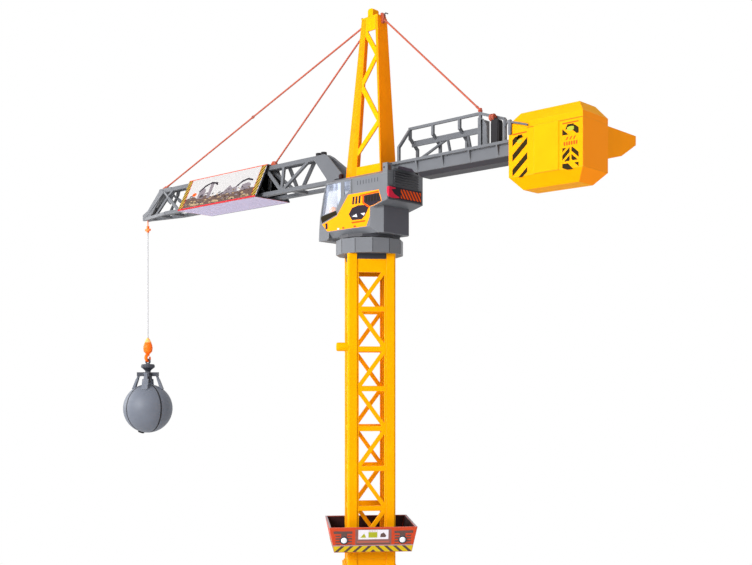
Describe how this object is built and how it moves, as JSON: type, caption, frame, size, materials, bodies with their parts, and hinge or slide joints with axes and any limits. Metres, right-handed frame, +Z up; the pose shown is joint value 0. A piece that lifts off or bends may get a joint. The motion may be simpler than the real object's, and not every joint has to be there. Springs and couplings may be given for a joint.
{
  "type": "toy tower crane",
  "caption": "Plastic toy tower crane: lattice tower on a footed base, slewing cab, mast, jib with billboard sleeve, lidded ballast tub and ball grab on a hoist rope.",
  "frame": {"origin": "on the floor under the slewing axis, in the plane of the feet", "axes": "+Z up along the slewing axis, +X along the counter-jib, -X along the jib, -Y to the cab's side that the picture shows"},
  "size_m": [1.339, 0.4134, 1.2],
  "materials": {
    "tower_yellow": "satin moulded",
    "grey_plastic": "satin moulded",
    "dark_plastic": "satin moulded",
    "tray_red": "satin moulded",
    "board_face": "printed card look",
    "cab_glazing": "clear moulded",
    "stay_cord": "twisted cord",
    "hoist_cord": "thin cord",
    "hook_orange": "satin moulded",
    "ball_grey": "satin moulded"
  },
  "bodies": {
    "tower": {"base_housing": "tower_yellow", "base_legs": "grey_plastic", "tower_posts": "tower_yellow", "tower_lattice_front": "tower_yellow", "tower_lattice_right": "tower_yellow", "tower_lattice_back": "tower_yellow", "tower_lattice_left": "tower_yellow", "tower_cap": "grey_plastic", "slew_collar": "grey_plastic", "tray_floor": "tray_red", "tray_ends": "tray_red", "tray_sides": "tray_red"},
    "turret": {"slew_plate": "grey_plastic", "machine_house": "grey_plastic", "cab_base": "grey_plastic", "cab_sides": "grey_plastic", "cab_front": "grey_plastic", "cab_glass": "cab_glazing", "turret_deck": "grey_plastic", "engine_cover": "dark_plastic", "mast_plates": "tower_yellow", "mast_lattices": "tower_yellow", "mast_head": "tower_yellow", "jib_lattice_near": "grey_plastic", "jib_lattice_far": "grey_plastic", "jib_bottom": "grey_plastic", "jib_spine": "grey_plastic", "jib_nose": "grey_plastic", "billboard_faces": "board_face", "billboard_edges": "tray_red", "counter_jib": "grey_plastic", "deck_rail": "grey_plastic", "winch_motor": "dark_plastic", "tub_sides": "tower_yellow", "tub_ends": "tower_yellow", "tub_floor": "tower_yellow", "tub_spout": "tower_yellow", "stay_ropes": "stay_cord"},
    "rope": {"hoist_rope": "hoist_cord", "rope_clip": "hook_orange"},
    "grab": {"hook_block": "hook_orange", "hook": "hook_orange", "grab_head": "dark_plastic"},
    "petal_a": {"petal_1": "ball_grey"},
    "petal_b": {"petal_2": "ball_grey"},
    "petal_c": {"petal_3": "ball_grey"},
    "petal_d": {"petal_4": "ball_grey"},
    "lid": {"tub_lid": "tower_yellow"}
  },
  "joints": [
    {"name": "slew", "type": "hinge", "parent": "tower", "child": "turret", "pos_m": [0, 0, 0.745], "axis": [0, 0, 1], "continuous": true},
    {"name": "load_swing", "type": "hinge", "parent": "turret", "child": "rope", "pos_m": [-0.766, 0, 0.868], "axis": [0, 1, 0], "range_deg": [-12, 12]},
    {"name": "hoist", "type": "slide", "parent": "rope", "child": "grab", "axis": [0, 0, 1], "range_m": [-0.31, 0.24], "deforming": ["hoist_rope"]},
    {"name": "petal_a_open", "type": "hinge", "parent": "grab", "child": "petal_a", "pos_m": [-0.74934, 0.01527, 0.475], "axis": [0.6756, -0.7373, 0], "range_deg": [0, 35]},
    {"name": "petal_b_open", "type": "hinge", "parent": "grab", "child": "petal_b", "pos_m": [-0.78127, 0.01666, 0.475], "axis": [0.7373, 0.6756, 0], "range_deg": [0, 35]},
    {"name": "petal_c_open", "type": "hinge", "parent": "grab", "child": "petal_c", "pos_m": [-0.78266, -0.01527, 0.475], "axis": [-0.6756, 0.7373, 0], "range_deg": [0, 35]},
    {"name": "petal_d_open", "type": "hinge", "parent": "grab", "child": "petal_d", "pos_m": [-0.75073, -0.01666, 0.475], "axis": [-0.7373, -0.6756, 0], "range_deg": [0, 35]},
    {"name": "lid_lift", "type": "slide", "parent": "turret", "child": "lid", "axis": [0, 0, 1], "range_m": [0, 0.12]}
  ],
  "couplings": [
    {"joint": "petal_b_open", "follows": "petal_a_open", "ratio": 1},
    {"joint": "petal_c_open", "follows": "petal_a_open", "ratio": 1},
    {"joint": "petal_d_open", "follows": "petal_a_open", "ratio": 1}
  ]
}
